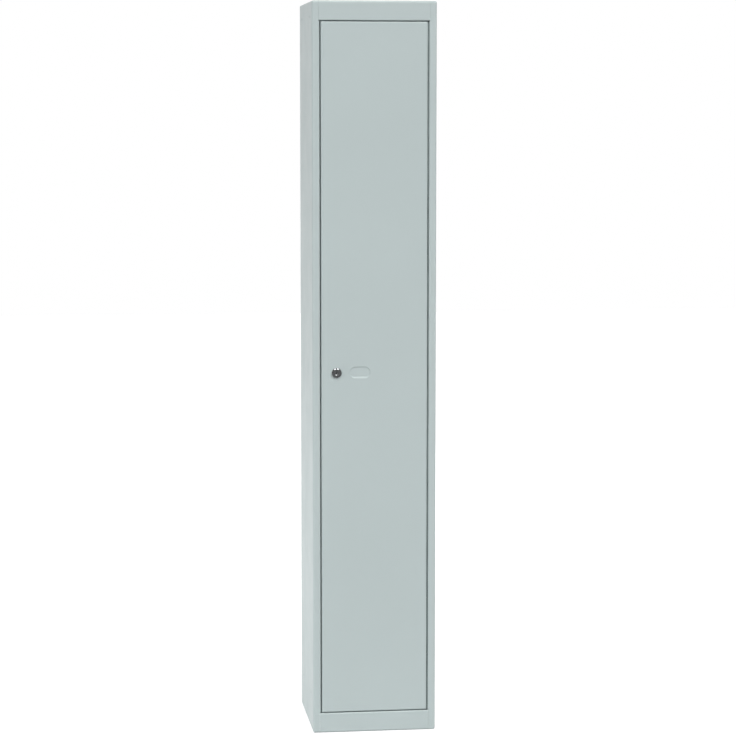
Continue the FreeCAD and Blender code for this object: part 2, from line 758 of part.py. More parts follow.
def make_door_buffers():
    """Rubber buffers along the stop flange on the lock side."""
    points = [
        ("0", "0"),
        ("buffer_radius", "0"),
        ("buffer_radius", "buffer_edge - buffer_height"),
        ("buffer_radius - buffer_edge", "-buffer_height"),
        ("0", "-buffer_height"),
    ]
    buffers = []
    for index in range(int(value("buffer_count"))):
        z = f"door_bottom + door_height * ({index} + 0.5) / buffer_count"
        name = f"buffer_{index + 1}"
        buffer = new_body(name, "(stop_flange + lock_gap) / 2 - jamb_half", "stop_front", z, is_node=False)
        revolve(buffer, name + "_turning", "XY_Plane", points)
        buffers.append(buffer)
    grouped("door_buffers", buffers)


# Hinge

def make_hinge_leaf(label, leaf_x, first):
    """Strip with every second knuckle of the hinge, notched clear of the other leaf's knuckles."""
    body = new_body(label, "pin_place", "pin_front", "door_bottom")
    low = f"{first} * knuckle_pitch + knuckle_break / 2"
    length = "knuckle_pitch - knuckle_break"
    block(
        body, "Additive", label + "_strip",
        (leaf_x, "leaf_start", "0"),
        ("leaf_sheet", "leaf_width", "door_height"),
    )
    tab = block(
        body, "Additive", label + "_tab",
        (leaf_x, "0", low),
        ("leaf_sheet", "leaf_start", length),
    )
    section = new_sketch(body, label + "_barrel", "XY_Plane", low)
    draw_circle(section, "0", "0", "barrel_radius")
    draw_circle(section, "0", "0", "pin_radius + pin_clearance")
    knuckle = pad(body, section, label + "_knuckle", length)
    row = body.newObject("PartDesign::LinearPattern", label + "_row")
    row.Originals = [tab, knuckle]
    row.Direction = (origin_part(body, "Z_Axis"), [""])
    bind(row, Length="door_height - 2 * knuckle_pitch", Occurrences="knuckle_count / 2")
    body.Tip = row
    doc.recompute()


def make_hinge_pin():
    """Pin through every knuckle."""
    pin = doc.addObject("Part::Cylinder", "hinge_pin")
    pin.Label = "hinge_pin"
    bind(pin, Radius="pin_radius", Height="door_height")
    place(pin, "pin_place", "pin_front", "door_bottom")
    nodes.append(pin)


# Door

def make_door_skin():
    """Folded pan: face, four returns and lips, with the label recess pressed in and the lock hole."""
    body = new_body("door_skin", "door_left", "front", "door_bottom")
    pan = block(body, "Additive", "pan", ("0", "0", "0"), ("door_width", "door_depth", "door_height"))
    fillet(body, "pan_bends", pan, lambda edge: edge.BoundBox.YLength < HAIR, "door_bend")
    inside = [value(f"{size} - 2 * door_sheet") for size in ("door_width", "door_depth", "door_height")]
    hollow = block(
        body, "Subtractive", "pan_hollow",
        ("door_sheet", "door_sheet", "door_sheet"),
        ("door_width - 2 * door_sheet", "door_depth - 2 * door_sheet", "door_height - 2 * door_sheet"),
    )
    wall = FreeCAD.BoundBox(0, 0, 0, *inside)
    wall.move(FreeCAD.Vector(1, 1, 1) * value("door_sheet"))
    wall.enlarge(HAIR)
    fillet(
        body, "hollow_bends", hollow,
        lambda edge: wall.isInside(edge.BoundBox) and edge.BoundBox.YLength < HAIR, "bend_radius",
    )
    block(
        body, "Subtractive", "pan_opening",
        ("door_lip", "door_depth - door_sheet - bend_radius", "door_lip"),
        ("door_width - 2 * door_lip", "door_sheet + bend_radius + cut_over", "door_height - 2 * door_lip"),
    )
    lock_x = "lock_place - door_left"
    lock_z = "lock_height - door_bottom"
    recess_x = "recess_inset - width / 2 - door_left"
    outlines = {
        "boss_base": ("-door_sheet", "recess_wall", "ramp_wall"),
        "boss_top": ("-door_sheet - recess_depth", "(recess_wall - recess_run)", "(ramp_wall - recess_ramp)"),
        "recess_mouth": ("0", "0", "0"),
        "recess_floor": ("-recess_depth", "(-recess_run)", "(-recess_ramp)"),
    }
    drawn = {}
    for name, (lift, side, low) in outlines.items():
        drawn[name] = new_sketch(body, name, "XZ_Plane", lift)
        draw_recess(drawn[name], recess_x, lock_z, side, low)
    loft(body, "Additive", "recess_boss", drawn["boss_base"], drawn["boss_top"])
    loft(body, "Subtractive", "recess_pressing", drawn["recess_mouth"], drawn["recess_floor"])
    hole = new_sketch(body, "lock_hole_outline", "XZ_Plane")
    draw_circle(hole, lock_x, lock_z, "lock_body_radius + lock_hole_play")
    pocket(body, hole, "lock_hole", "2 * door_sheet")


def make_door_stiffener():
    """Hat-section channel welded upright inside the door."""
    half = "stiffener_web / 2"
    corners = [
        (f"-{half} - stiffener_flange", "0"),
        (f"-{half}", "0"),
        (f"-{half}", "stiffener_depth"),
        (half, "stiffener_depth"),
        (half, "0"),
        (f"{half} + stiffener_flange", "0"),
    ]
    at = ("stiffener_place", "front + door_sheet", "door_bottom + stiffener_inset")
    length = "door_height - 2 * stiffener_inset"
    folded("door_stiffener", "XY_Plane", corners, "body_sheet", 1, length, at)


# Lock

def new_lock_piece(label):
    """Start a piece on the lock's axis, measured back from the door's face."""
    return new_body(label, "lock_place", "front", "lock_height")


def make_lock_housing():
    """Rim and threaded body, bored for the plug and its front disc."""
    body = new_lock_piece("lock_housing")
    bore = "plug_stem_radius + turn_clearance"
    seat = "plug_head_radius + turn_clearance"
    eased = "bezel_round * (1 - sqrt(0.5))"
    points = [
        (bore, "plug_shoulder + turn_clearance"),
        (seat, "plug_shoulder + turn_clearance"),
        (seat, "-bezel_height"),
        ("bezel_radius - bezel_round", "-bezel_height"),
        (f"bezel_radius - {eased}", f"{eased} - bezel_height"),
        ("bezel_radius", "bezel_round - bezel_height"),
        ("bezel_radius", "0"),
        ("lock_body_radius", "0"),
        ("lock_body_radius", "lock_body_length"),
        (bore, "lock_body_length"),
    ]
    revolve(body, "housing_turning", "XY_Plane", points)


def make_lock_nut():
    """Hexagon nut behind the door's face."""
    body = new_lock_piece("lock_nut")
    nut = body.newObject("PartDesign::AdditivePrism", "nut_hexagon")
    nut.Polygon = 6
    bind(nut, Circumradius="nut_width / sqrt(3)", Height="nut_height")
    turn(nut, (1, 0, 0), -90)
    place(nut, "0", "door_sheet", "0")
    doc.recompute()
    rod(
        body, "Subtractive", "nut_bore",
        ("0", "door_sheet - cut_over", "0"),
        "lock_body_radius + lock_hole_play", "nut_height + 2 * cut_over",
    )


def make_lock_plug():
    """Turning plug with a key slot in front and a square end for the cam."""
    body = new_lock_piece("lock_plug")
    points = [
        ("0", "plug_front"),
        ("plug_head_radius", "plug_front"),
        ("plug_head_radius", "plug_shoulder"),
        ("plug_stem_radius", "plug_shoulder"),
        ("plug_stem_radius", "cam_front"),
        ("0", "cam_front"),
    ]
    revolve(body, "plug_turning", "XY_Plane", points)
    block(
        body, "Additive", "plug_tail",
        ("-tail_width / 2", "cam_front", "-tail_width / 2"),
        ("tail_width", "cam_sheet - turn_clearance", "tail_width"),
    )
    dish = body.newObject("PartDesign::SubtractiveSphere", "key_dish")
    bind(dish, Radius="dish_curve")
    turn(dish, (1, 0, 0), -90)
    place(dish, "0", "plug_front + dish_depth - dish_curve", "0")
    doc.recompute()
    block(
        body, "Subtractive", "keyway",
        ("-keyway_width / 2", "plug_front - cut_over", "-keyway_height / 2"),
        ("keyway_width", "keyway_depth + cut_over", "keyway_height"),
    )
    rod(
        body, "Subtractive", "screw_bore",
        ("0", "cam_back - screw_length - cut_over", "0"),
        "screw_radius + screw_play", "screw_length + 2 * cut_over",
    )


def make_lock_cam():
    """Flat cam that hangs down unlocked and turns behind the stop flange to lock."""
    body = new_lock_piece("lock_cam")
    outline = new_sketch(body, "cam_outline", "XZ_Plane", "-cam_front")
    draw_rounded(outline, "-cam_half_width", "cam_half_width", "-cam_reach", "cam_half_width", "cam_corner")
    high = "tail_width / 2 + turn_clearance"
    low = f"-({high})"
    draw_outline(outline, [(low, low), (high, low), (high, high), (low, high)])
    pad(body, outline, "cam_plate", "cam_sheet", is_reversed=True)


def make_cam_washer():
    """Washer between cam and screw."""
    body = new_lock_piece("cam_washer")
    bore = "screw_radius + screw_play"
    points = [
        (bore, "cam_back"),
        ("washer_radius", "cam_back"),
        ("washer_radius", "cam_back + washer_height"),
        (bore, "cam_back + washer_height"),
    ]
    revolve(body, "washer_turning", "XY_Plane", points)


def make_cam_screw():
    """Screw that holds the cam on the plug, with a cross in its head."""
    body = new_lock_piece("cam_screw")
    seat = "cam_back + washer_height"
    head = f"{seat} + screw_head_height"
    points = [
        ("0", f"{seat} - screw_length"),
        ("screw_radius", f"{seat} - screw_length"),
        ("screw_radius", seat),
        ("screw_head_radius", seat),
        ("screw_head_radius", f"{head} - screw_bevel"),
        ("screw_head_radius - screw_bevel", head),
        ("0", head),
    ]
    revolve(body, "screw_turning", "XY_Plane", points)
    for name, across, upright in (
        ("level_slot", "cross_length", "cross_width"),
        ("upright_slot", "cross_width", "cross_length"),
    ):
        block(
            body, "Subtractive", name,
            (f"-{across} / 2", f"{head} - cross_depth", f"-{upright} / 2"),
            (across, "cross_depth + cut_over", upright),
        )


def check_model():
    """Stop if any object failed, any cut removed nothing or any piece is not a sound solid."""
    for item in doc.Objects:
        if "Invalid" in item.State or "Error" in item.State:
            raise RuntimeError(f"{item.Label} failed: {item.State}")
        is_cut = item.TypeId == "PartDesign::Pocket" or "Subtractive" in item.TypeId
        if is_cut and item.Shape.Volume > item.BaseFeature.Shape.Volume - HAIR:
            raise RuntimeError(f"{item.Label} cuts nothing")
    for node in nodes:
        if node.Shape.isNull() or not node.Shape.isValid() or not node.Shape.Solids:
            raise RuntimeError(f"{node.Label} is not a sound solid")


mirrored("right_side_panel", make_side_panel())
make_roof_panel()
make_plinth()
make_base_tray()
make_back_panel()
make_hat_shelf()
mirrored("shelf_runner_right", make_shelf_runner())
mirrored("right_coat_hook", make_side_hook())
make_double_hook()
make_hook_rivets()
make_door_buffers()
make_hinge_leaf("hinge_frame_leaf", "hinge_gap / 2 - leaf_sheet", 0)
make_hinge_leaf("hinge_door_leaf", "-hinge_gap / 2", 1)
make_hinge_pin()
make_door_skin()
make_door_stiffener()
make_lock_housing()
make_lock_nut()
make_lock_plug()
make_lock_cam()
make_cam_washer()
make_cam_screw()

doc.recompute()
check_model()
os.makedirs("parts", exist_ok=True)
for node in nodes:
    node.Shape.exportStep(f"parts/{node.Label}.step")
    bounds = node.Shape.BoundBox
    print(f"{node.Label}: {len(node.Shape.Solids)} solids, {node.Shape.Volume:.0f} mm3, {bounds}")
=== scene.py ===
import json
import math

import bmesh
import bpy
from mathutils import Matrix, Vector

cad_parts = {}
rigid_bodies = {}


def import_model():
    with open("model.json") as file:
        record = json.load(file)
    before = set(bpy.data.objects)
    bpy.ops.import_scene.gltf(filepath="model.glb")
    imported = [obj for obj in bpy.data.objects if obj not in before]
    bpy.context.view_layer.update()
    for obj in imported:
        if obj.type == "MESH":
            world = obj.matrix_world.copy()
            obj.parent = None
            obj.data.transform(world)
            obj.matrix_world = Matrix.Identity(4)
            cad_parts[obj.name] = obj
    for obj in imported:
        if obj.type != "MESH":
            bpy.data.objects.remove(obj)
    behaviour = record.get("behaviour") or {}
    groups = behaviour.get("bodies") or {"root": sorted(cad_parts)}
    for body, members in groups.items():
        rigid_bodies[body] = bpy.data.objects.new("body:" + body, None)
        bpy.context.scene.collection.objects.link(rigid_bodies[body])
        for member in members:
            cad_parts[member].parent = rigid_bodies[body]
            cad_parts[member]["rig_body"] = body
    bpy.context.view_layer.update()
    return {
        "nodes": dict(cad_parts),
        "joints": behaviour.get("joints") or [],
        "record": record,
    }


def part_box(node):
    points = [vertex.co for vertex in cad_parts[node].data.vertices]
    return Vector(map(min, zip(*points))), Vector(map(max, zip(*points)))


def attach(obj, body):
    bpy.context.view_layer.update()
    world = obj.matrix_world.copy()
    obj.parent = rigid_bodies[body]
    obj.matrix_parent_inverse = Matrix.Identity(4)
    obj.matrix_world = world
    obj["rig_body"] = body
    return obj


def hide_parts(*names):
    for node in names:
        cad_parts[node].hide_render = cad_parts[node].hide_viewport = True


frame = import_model()

bl_info = {
    "name": "Clothing locker",
    "version": (1, 0, 0),
    "blender": (4, 5, 0),
    "location": "View3D > Sidebar > Locker",
    "description": "Finishes a one-door steel clothing locker round its construction model",
    "category": "Object",
}

MILLIMETRE = 0.001

# Points nearer than this are one point
SAME_POINT = 1e-6
# Faces that meet flatter than this are one flat face
FLAT = math.radians(0.5)
# Edges that turn by more than this are not shaded as one curve
SHARP = math.radians(28)

LEFT, RIGHT = Vector((-1, 0, 0)), Vector((1, 0, 0))
FRONT, BACK = Vector((0, -1, 0)), Vector((0, 1, 0))
UP = Vector((0, 0, 1))

# Steps round a turned piece
LOCK_STEPS = 96
BUTTON_STEPS = 40
WELD_STEPS = 16

# Where the rim and the dish of a weld mark lie, as shares of its radius and height
RIM_PLACE = 0.8
DISH_PLACE = 0.5
DISH_EDGE = 0.2
DISH_MIDDLE = 0.1

# Nodes of the construction model that keep their own shape
SHEETS = (
    "left_side_panel", "right_side_panel", "roof_panel", "plinth", "base_tray", "back_panel",
    "hat_shelf", "shelf_runner_left", "shelf_runner_right", "door_skin", "door_stiffener",
)
HINGE_LEAVES = ("hinge_frame_leaf", "hinge_door_leaf")

# Pieces that stand for a node with its edges eased
HOOK_STRAPS = {
    "left_hook_strap": "left_coat_hook",
    "right_hook_strap": "right_coat_hook",
    "double_hook_strap": "double_coat_hook",
}
LOCK_FIXINGS = {
    "hexagon_nut": "lock_nut",
    "cam_plate": "lock_cam",
    "round_washer": "cam_washer",
    "cross_screw": "cam_screw",
}


def slot_colour(slot):
    """Colour that the record gives a material slot."""
    return next(row["base_color"] for row in frame["record"]["materials"] if row["slot"] == slot)


def joint_place(name):
    """A point on a joint's axis."""
    return next(Vector(joint["pos_m"]) for joint in frame["joints"] if joint["name"] == name)


def colour_property(name, description, default):
    """A colour that a user may change."""
    return bpy.props.FloatVectorProperty(
        name=name, description=description, subtype="COLOR", size=3, min=0.0, max=1.0, default=default
    )


def length_property(name, description, default):
    """A length that a user may change, given in millimetres and held in metres."""
    return bpy.props.FloatProperty(
        name=name, description=description, unit="LENGTH", min=0.0, precision=5,
        default=default * MILLIMETRE,
    )


def place_property(name, description, default):
    """A point in the locker's frame that a user may change."""
    return bpy.props.FloatVectorProperty(
        name=name, description=description, subtype="TRANSLATION", unit="LENGTH", size=3, default=default
    )


def power_property(name, description, default):
    """The power of a lamp."""
    return bpy.props.FloatProperty(
        name=name, description=description, unit="POWER", min=0.0, default=default
    )


def share_property(name, description, default):
    """A plain number from 0 to 1."""
    return bpy.props.FloatProperty(
        name=name, description=description, subtype="FACTOR", min=0.0, max=1.0, default=default
    )


def strength_property(name, description, default):
    """The light that a distant lamp gives a surface facing it."""
    return bpy.props.FloatProperty(name=name, description=description, min=0.0, default=default)


def spread_property(name, description, default):
    """The angle that a distant lamp fills, given in degrees."""
    return bpy.props.FloatProperty(
        name=name, description=description, subtype="ANGLE", default=math.radians(default)
    )


def count_property(name, description, least, default):
    """A number of like pieces."""
    return bpy.props.IntProperty(name=name, description=description, min=least, default=default)


def distance_property(name, description, default):
    """A size of the stage, in metres."""
    return bpy.props.FloatProperty(
        name=name, description=description, unit="LENGTH", min=0.0, default=default
    )


class LockerFinish(bpy.types.PropertyGroup):
    """Colours and grain of the finishes."""

    paint: colour_property("Paint", "Powder coat of the sheets", slot_colour("grey_paint"))
    zinc: colour_property("Zinc", "Plating of the hooks and lock fixings", slot_colour("zinc_plate"))
    # The hinge leaves' colour is the grey paint as it looks in the gap's shade: a painted shade
    steel: colour_property("Hinge steel", "Hinge leaves", slot_colour("hinge_steel"))
    # Near-black pin: blackened steel, kept this dark as a painted shade in the breaks between the
    # knuckles
    pin: colour_property("Hinge pin", "Blackened pin between the knuckles", (0.03, 0.033, 0.033))
    # The lock's chrome is kept dark as a painted reflection of dark surroundings
    chrome: colour_property("Chrome", "Rim and plug of the lock", slot_colour("lock_chrome"))
    rubber: colour_property("Rubber", "Door buffers", slot_colour("black_rubber"))
    paint_roughness: share_property("Paint roughness", "Roughness of the powder coat", 0.42)
    paint_peel: length_property("Paint peel", "Width of the ripples in the powder coat", 1.6)
    peel_depth: length_property("Peel depth", "Depth of the ripples in the powder coat", 0.03)
    panel_wave: length_property("Panel wave", "Width of the slow waves in a flat sheet", 240.0)
    wave_depth: length_property("Wave depth", "Depth of the slow waves in a flat sheet", 0.3)


class LockerSizes(bpy.types.PropertyGroup):
    """Sizes of the pieces modelled here."""

    crown_width: length_property("Crown width", "Width of the sloping face of the lock's rim", 2.8)
    crown_drop: length_property("Crown drop", "Height of the sloping face of the lock's rim", 1.7)
    crown_round: length_property("Crown rounding", "Rounded edges of the sloping face", 0.3)
    seat_round: length_property("Seat rounding", "Eased inner edge of the lock's rim", 0.25)
    seat_depth: length_property("Seat depth", "Depth of the seat for the plug's head", 3.35)
    seat_play: length_property("Seat play", "Play round the plug's head", 0.05)
    bore_radius: length_property("Bore", "Radius of the bore for the plug's stem", 6.55)
    thread_radius: length_property("Thread radius", "Radius over the thread of the lock body", 9.5)
    thread_pitch: length_property("Thread pitch", "Pitch of the thread on the lock body", 1.25)
    thread_depth: length_property("Thread depth", "Depth of the thread on the lock body", 0.45)
    thread_start: length_property("Thread start", "Plain body between the rim and the thread", 1.5)
    slot_width: length_property("Slot width", "Width of the key slot", 1.8)
    slot_height: length_property("Slot height", "Height of the key slot", 8.0)
    wafer_sheet: length_property("Wafer sheet", "Thickness of a wafer in the key slot", 0.6)
    wafer_height: length_property("Wafer height", "How far a wafer reaches across the key slot", 5.2)
    wafer_start: length_property("Wafer start", "First wafer behind the plug's front", 1.9)
    wafer_pitch: length_property("Wafer pitch", "Distance between wafers", 1.1)
    wafer_play: length_property("Wafer play", "Play between a wafer and the key slot", 0.04)
    wafer_round: length_property("Wafer edges", "Eased edges of a wafer", 0.1)
    wafer_count: count_property("Wafers", "Wafers in the key slot", 1, 4)
    fixing_round: length_property("Fixing edges", "Eased edges of the lock's small pieces", 0.2)
    strap_round: length_property("Strap edges", "Rounded edges of the coat hooks", 0.6)
    rivet_head: length_property("Rivet head", "Radius of a rivet's heads", 4.0)
    rivet_height: length_property("Rivet height", "Height of a rivet's heads", 1.5)
    rivet_dome: length_property("Rivet dome", "Rounding of a rivet's heads", 1.3)
    rivet_shank: length_property("Rivet shank", "Radius of a rivet between its heads", 2.0)
    buffer_round: length_property("Buffer edge", "Rounded edge of a rubber buffer", 1.0)
    buffer_count: count_property("Buffers", "Rubber buffers on the stop flange", 2, 4)
    sheet: length_property("Sheet", "Thickness of the carcass sheets", 0.8)
    weld_radius: length_property("Weld mark", "Radius of a spot weld's mark", 2.8)
    weld_height: length_property("Weld rim", "Height of the rim round a weld's mark", 0.28)
    weld_pitch: length_property("Weld pitch", "Distance between spot welds", 100.0)
    weld_inset: length_property("Weld inset", "Spot welds from the edge of a sheet", 6.5)


class LockerStage(bpy.types.PropertyGroup):
    """Camera, floor and lamps."""

    camera_place: place_property("Camera", "Where the camera stands", (-0.730, -5.932, 1.545))
    camera_aim: place_property(
        "Aim", "Point on the door that the camera looks at", (-0.016, -0.1525, 0.911)
    )
    camera_lens: bpy.props.FloatProperty(
        name="Lens", description="Focal length of the camera", unit="CAMERA", min=1.0, default=116.9
    )
    floor_side: distance_property("Floor", "Side of the square floor", 24.0)
    floor_colour: colour_property("Floor colour", "Pale studio floor", (0.36, 0.36, 0.36))
    floor_glow: share_property("Floor glow", "Whiteness that the floor shows besides its own shade", 0.78)
    ambient: share_property("Ambient", "Even light from all round", 0.33)
    lamp_aim: place_property("Lamp aim", "Point that the lamps look at", (0.0, 0.0, 0.9))
    low_aim: place_property("Low aim", "Point that the strip lamp looks at", (0.0, 0.0, 0.3))
    right_place: place_property(
        "Right light", "Where the right key and glint shine from", (3.6, -6.0, 8.05)
    )
    left_place: place_property(
        "Left light", "Where the left key and glint shine from", (-2.7, -6.0, 8.4)
    )
    front_place: place_property("Front light", "Where the front fill shines from", (-1.1, -9.9, 2.0))
    left_box: place_property("Left softbox", "Where the left softbox stands", (-4.0, -0.8, 1.2))
    right_box: place_property("Right softbox", "Where the right softbox stands", (4.2, 0.9, 1.3))
    back_box: place_property("Back softbox", "Where the back softbox stands", (2.0, 4.2, 1.3))
    low_box: place_property("Strip lamp", "Where the strip lamp stands", (-1.15, 0.0, 0.3))
    box_width: distance_property("Softbox width", "Width of a softbox", 4.0)
    box_height: distance_property("Softbox height", "Height of a softbox", 2.2)
    strip_width: distance_property("Strip width", "Width of the strip lamp", 0.8)
    strip_height: distance_property("Strip height", "Height of the strip lamp", 0.3)
    right_key: strength_property("Right key", "Broad light from above on the right", 1.36)
    right_spread: spread_property("Right spread", "Angle that the right key fills", 24.0)
    left_key: strength_property("Left key", "Broad light from above on the left", 1.0)
    left_spread: spread_property("Left spread", "Angle that the left key fills", 24.0)
    right_glint: strength_property("Right glint", "Right light that shows only in reflections", 2.6)
    left_glint: strength_property("Left glint", "Left light that shows only in reflections", 1.5)
    front_fill: strength_property("Front fill", "Light from beside the camera", 0.2)
    front_spread: spread_property("Front spread", "Angle that the front fill fills", 12.0)
    left_power: power_property("Left fill", "Softbox on the left", 34.0)
    right_power: power_property("Right fill", "Softbox on the right", 22.0)
    back_power: power_property("Back fill", "Softbox behind", 30.0)
    low_power: power_property("Low fill", "Strip lamp near the floor on the left", 3.2)


# Finishes

# Part of a noise's range that is spread over a pattern
NOISE_LOW, NOISE_HIGH = 0.3, 0.7

# Widths of the patterns
PAINT_DRIFT = 350 * MILLIMETRE
PAINT_SHEEN = 60 * MILLIMETRE
ZINC_TINT = 12 * MILLIMETRE
ROLLING_MARK = 0.8 * MILLIMETRE
DRAWING_MARK = 0.6 * MILLIMETRE
STEEL_CLOUD = 30 * MILLIMETRE
HANDLING_MARK = 1.2 * MILLIMETRE
CHROME_CLOUD = 6 * MILLIMETRE
RUBBER_BLOOM = 4 * MILLIMETRE
RUBBER_GRAIN = 0.5 * MILLIMETRE
FLOOR_MOTTLE = 500 * MILLIMETRE

# Depths of the marks, and how far those of rolling and drawing are stretched upwards
METAL_LINE_DEPTH = 0.01 * MILLIMETRE
HANDLING_DEPTH = 0.002 * MILLIMETRE
GRAIN_DEPTH = 0.02 * MILLIMETRE
ROLLING_STRETCH = (1.0, 1.0, 0.08)
DRAWING_STRETCH = (1.0, 1.0, 0.03)

# Darker and lighter shades, as changes to a colour
PAINT_SHADES = (-0.015, 0.015)
STEEL_SHADES = (-0.15, 0.12)
CHROME_SHADES = (-0.1, 0.1)
RUBBER_SHADES = (0.0, 0.8)
FLOOR_SHADES = (-0.01, 0.01)

# Tints of the zinc, as shares of red, green and blue
BLUE_TINT = (0.94, 0.99, 1.05)
STRAW_TINT = (1.04, 1.01, 0.92)

# Least and most roughness, and how far the paint's varies either way
ZINC_ROUGHNESS = (0.26, 0.42)
STEEL_ROUGHNESS = (0.36, 0.52)
CHROME_ROUGHNESS = (0.1, 0.2)
RUBBER_ROUGHNESS = (0.72, 0.86)
FLOOR_ROUGHNESS = 0.9
SHEEN_CHANGE = 0.05

# Strength of the reflection on what isn't metal
PAINT_SPECULAR = 0.4
FLOOR_SPECULAR = 0.1

WHITE = (1.0, 1.0, 1.0, 1.0)


def new_material(name):
    """Start a node material and return it with its node tree and shader."""
    material = bpy.data.materials.new(name)
    material.use_nodes = True
    return material, material.node_tree, material.node_tree.nodes["Principled BSDF"]


def add_node(tree, kind, settings=None, **inputs):
    """Add a node, set its options and fill its inputs with values or links from other nodes."""
    node = tree.nodes.new(kind)
    for key, setting in (settings or {}).items():
        setattr(node, key, setting)
    for key, given in inputs.items():
        socket = node.inputs[key.replace("_", " ")]
        if isinstance(given, bpy.types.NodeSocket):
            tree.links.new(given, socket)
        else:
            socket.default_value = given
    return node


def place_noise(tree, width, detail=2.0, roughness=0.5, stretch=(1.0, 1.0, 1.0)):
    """Noise on the piece's own coordinates, with features of the given width."""
    place = add_node(tree, "ShaderNodeTexCoord")
    mapped = add_node(tree, "ShaderNodeMapping", Vector=place.outputs["Object"], Scale=stretch)
    return add_node(
        tree, "ShaderNodeTexNoise",
        Vector=mapped.outputs["Vector"], Scale=1.0 / width, Detail=detail, Roughness=roughness,
    ).outputs["Fac"]


def spread(tree, noise, low, high):
    """Map the middle of a noise's range to a range of values."""
    return add_node(
        tree, "ShaderNodeMapRange",
        Value=noise, From_Min=NOISE_LOW, From_Max=NOISE_HIGH, To_Min=low, To_Max=high,
    ).outputs["Result"]


def shade(tree, noise, first, second):
    """Mix two colours by a noise."""
    mix = add_node(tree, "ShaderNodeMix", {"data_type": "RGBA"}, Factor=spread(tree, noise, 0.0, 1.0))
    first_socket, second_socket = (socket for socket in mix.inputs if socket.type == "RGBA")
    first_socket.default_value = (*first, 1.0)
    second_socket.default_value = (*second, 1.0)
    return next(socket for socket in mix.outputs if socket.type == "RGBA")


def toned(colour, share):
    """A colour made lighter or darker by a share of itself."""
    return tuple(part * (1.0 + share) for part in colour)


def shaded(tree, noise, colour, shades):
    """Mix a darker and a lighter shade of a colour by a noise."""
    darker, lighter = shades
    return shade(tree, noise, toned(colour, darker), toned(colour, lighter))


def tinted(colour, shares):
    """A colour with each of its parts changed by a share of its own."""
    return tuple(part * share for part, share in zip(colour, shares))


def bump(tree, height, depth, under=None):
    """Normal from a height pattern of the given depth, over another normal."""
    node = add_node(tree, "ShaderNodeBump", Height=height, Distance=depth)
    if under is not None:
        tree.links.new(under, node.inputs["Normal"])
    return node.outputs["Normal"]


def connect(tree, shader, colour, roughness, normal):
    """Feed a shader's colour, roughness and normal."""
    tree.links.new(colour, shader.inputs["Base Color"])
    tree.links.new(roughness, shader.inputs["Roughness"])
    tree.links.new(normal, shader.inputs["Normal"])


def make_powder_coat(finish):
    """Pale grey powder coat: slow drift of tone, fine ripples, slow waves and an uneven sheen."""
    material, tree, shader = new_material("powder_coat")
    drift = place_noise(tree, PAINT_DRIFT, detail=3.0)
    sheen = place_noise(tree, PAINT_SHEEN, detail=4.0)
    wave = place_noise(tree, finish.panel_wave, detail=0.0)
    ripple = place_noise(tree, finish.paint_peel)
    rough = finish.paint_roughness
    waves = bump(tree, wave, finish.wave_depth)
    connect(
        tree, shader,
        shaded(tree, drift, finish.paint, PAINT_SHADES),
        spread(tree, sheen, rough - SHEEN_CHANGE, rough + SHEEN_CHANGE),
        bump(tree, ripple, finish.peel_depth, waves),
    )
    shader.inputs["Specular IOR Level"].default_value = PAINT_SPECULAR
    return material


def make_zinc_plate(finish):
    """Bright zinc plating with a faint blue and straw tint and rolling marks."""
    material, tree, shader = new_material("zinc_plate")
    tint = place_noise(tree, ZINC_TINT, detail=3.0)
    rolled = place_noise(tree, ROLLING_MARK, detail=3.0, stretch=ROLLING_STRETCH)
    connect(
        tree, shader,
        shade(tree, tint, tinted(finish.zinc, BLUE_TINT), tinted(finish.zinc, STRAW_TINT)),
        spread(tree, rolled, *ZINC_ROUGHNESS),
        bump(tree, rolled, METAL_LINE_DEPTH),
    )
    shader.inputs["Metallic"].default_value = 1.0
    return material


def make_shade_dark_steel(name, colour):
    """Dull steel, drawn lengthways, in a dark colour that stands in for shade in the hinge gap."""
    material, tree, shader = new_material(name)
    drawn = place_noise(tree, DRAWING_MARK, detail=3.0, stretch=DRAWING_STRETCH)
    cloud = place_noise(tree, STEEL_CLOUD, detail=3.0)
    connect(
        tree, shader,
        shaded(tree, cloud, colour, STEEL_SHADES),
        spread(tree, drawn, *STEEL_ROUGHNESS),
        bump(tree, drawn, METAL_LINE_DEPTH),
    )
    shader.inputs["Metallic"].default_value = 1.0
    return material


def make_hinge_steel(finish):
    """Plated steel of the hinge leaves, coloured as the grey paint looks in the shade of the gap: a
    painted shade.
    """
    return make_shade_dark_steel("hinge_steel", finish.steel)


def make_pin_steel(finish):
    """Blackened steel of the hinge pin and the lock's wafers, near black so that the breaks between the
    hinge's knuckles show as deep shade: partly painted shade.
    """
    return make_shade_dark_steel("pin_steel", finish.pin)


def make_lock_chrome(finish):
    """Polished chrome, kept dark as a painted reflection of dark surroundings, with fine handling marks.
    """
    material, tree, shader = new_material("lock_chrome")
    marks = place_noise(tree, HANDLING_MARK, detail=5.0, roughness=0.65)
    cloud = place_noise(tree, CHROME_CLOUD)
    connect(
        tree, shader,
        shaded(tree, cloud, finish.chrome, CHROME_SHADES),
        spread(tree, marks, *CHROME_ROUGHNESS),
        bump(tree, marks, HANDLING_DEPTH),
    )
    shader.inputs["Metallic"].default_value = 1.0
    return material


def make_black_rubber(finish):
    """Matt moulded rubber with a faint bloom."""
    material, tree, shader = new_material("black_rubber")
    bloom = place_noise(tree, RUBBER_BLOOM, detail=4.0)
    grain = place_noise(tree, RUBBER_GRAIN)
    connect(
        tree, shader,
        shaded(tree, bloom, finish.rubber, RUBBER_SHADES),
        spread(tree, bloom, *RUBBER_ROUGHNESS),
        bump(tree, grain, GRAIN_DEPTH),
    )
    return material


FINISHES = {
    "grey_paint": make_powder_coat,
    "zinc_plate": make_zinc_plate,
    "hinge_steel": make_hinge_steel,
    "pin_steel": make_pin_steel,
    "lock_chrome": make_lock_chrome,
    "black_rubber": make_black_rubber,
}
materials = {}


